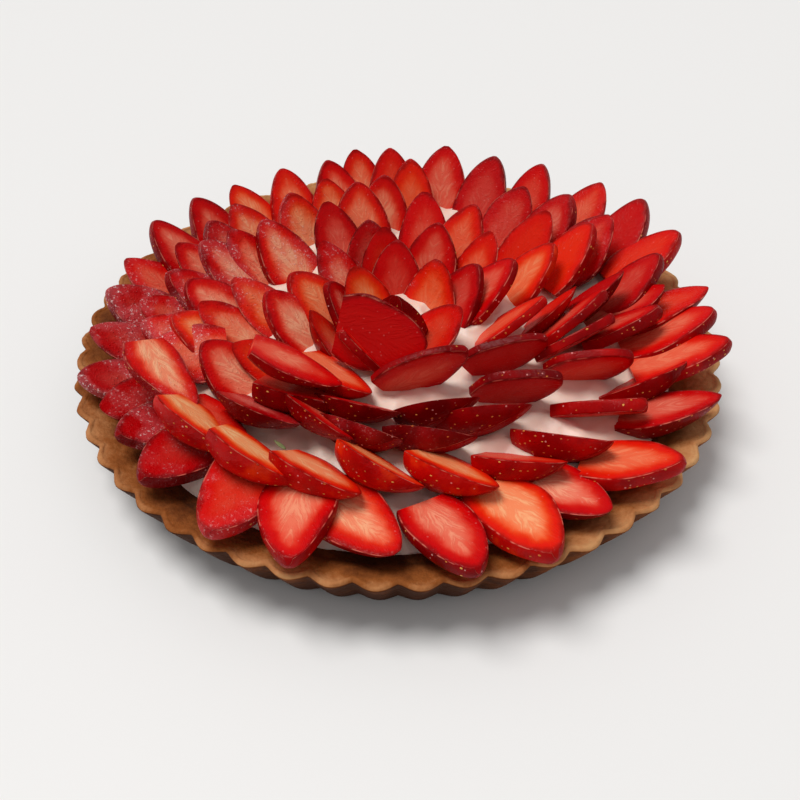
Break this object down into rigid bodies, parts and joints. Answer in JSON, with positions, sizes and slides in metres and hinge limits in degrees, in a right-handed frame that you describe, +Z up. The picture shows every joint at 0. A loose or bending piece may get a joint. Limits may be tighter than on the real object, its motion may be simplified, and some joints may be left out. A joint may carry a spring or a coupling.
{
  "type": "strawberry tart",
  "caption": "Round fluted shortcrust tart with a domed cream filling, covered by a rosette of overlapping strawberry slices.",
  "frame": {"origin": "middle of the crust's underside, on the surface the tart stands on", "axes": "+Z up; the tart's own axis of roundness is Z; the front of the pictured view is -Y"},
  "size_m": [0.2598, 0.2598, 0.0567],
  "materials": {
    "crust": "baked shortcrust, matt and finely grained, browned at the edge",
    "cream": "soft whipped cream filling, satin",
    "strawberry": "moist glazed strawberry, glossy, with a paler core on the cut faces"
  },
  "bodies": {
    "root": {"bud_03_with_bud_05": "strawberry", "cream": "cream", "crust": "crust", "fifth_02": "strawberry", "fifth_03": "strawberry", "fifth_04_with_bud_02": "strawberry", "fifth_05": "strawberry", "fifth_06_with_bud_04": "strawberry", "fifth_07": "strawberry", "fourth_01": "strawberry", "fourth_02_with_fifth_01_with_bud_01": "strawberry", "fourth_03": "strawberry", "fourth_04": "strawberry", "fourth_05": "strawberry", "fourth_06": "strawberry", "fourth_07": "strawberry", "fourth_10_with_under_03": "strawberry", "fourth_14": "strawberry", "outer_01_with_outer_32_with_second_01_with_second_26": "strawberry", "outer_02_with_outer_03_with_outer_04": "strawberry", "outer_05_with_outer_06": "strawberry", "outer_07": "strawberry", "outer_08": "strawberry", "outer_09_with_outer_10_with_outer_11_with_outer_12": "strawberry", "outer_13_with_outer_14_with_outer_15_with_outer_16": "strawberry", "outer_17_with_outer_18": "strawberry", "outer_19_with_outer_20": "strawberry", "outer_21": "strawberry", "outer_22_with_second_16_with_second_17_with_under_01": "strawberry", "outer_23_with_outer_24_with_second_18_with_second_19": "strawberry", "outer_25": "strawberry", "outer_26": "strawberry", "outer_27_with_outer_28_with_second_22": "strawberry", "outer_29_with_second_23": "strawberry", "outer_30_with_outer_31_with_second_24_with_second_25": "strawberry", "second_02": "strawberry", "second_03_with_second_04_with_second_05": "strawberry", "second_06": "strawberry", "second_07": "strawberry", "second_08": "strawberry", "second_09": "strawberry", "second_10_with_second_11": "strawberry", "second_12_with_second_13_with_third_09_with_third_10": "strawberry", "second_14_with_second_15_with_third_13_with_third_14": "strawberry", "second_20": "strawberry", "second_21_with_third_20": "strawberry", "third_01_with_third_24_with_third_25_with_fourth_13": "strawberry", "third_02_with_third_03": "strawberry", "third_04": "strawberry", "third_05": "strawberry", "third_06_with_third_07": "strawberry", "third_08": "strawberry", "third_11_with_third_12": "strawberry", "third_15_with_third_16_with_fourth_08_with_fourth_09": "strawberry", "third_17": "strawberry", "third_18_with_third_19_with_fourth_11_with_under_02": "strawberry", "third_21_with_fourth_12": "strawberry", "third_22": "strawberry", "third_23": "strawberry"}
  },
  "joints": []
}
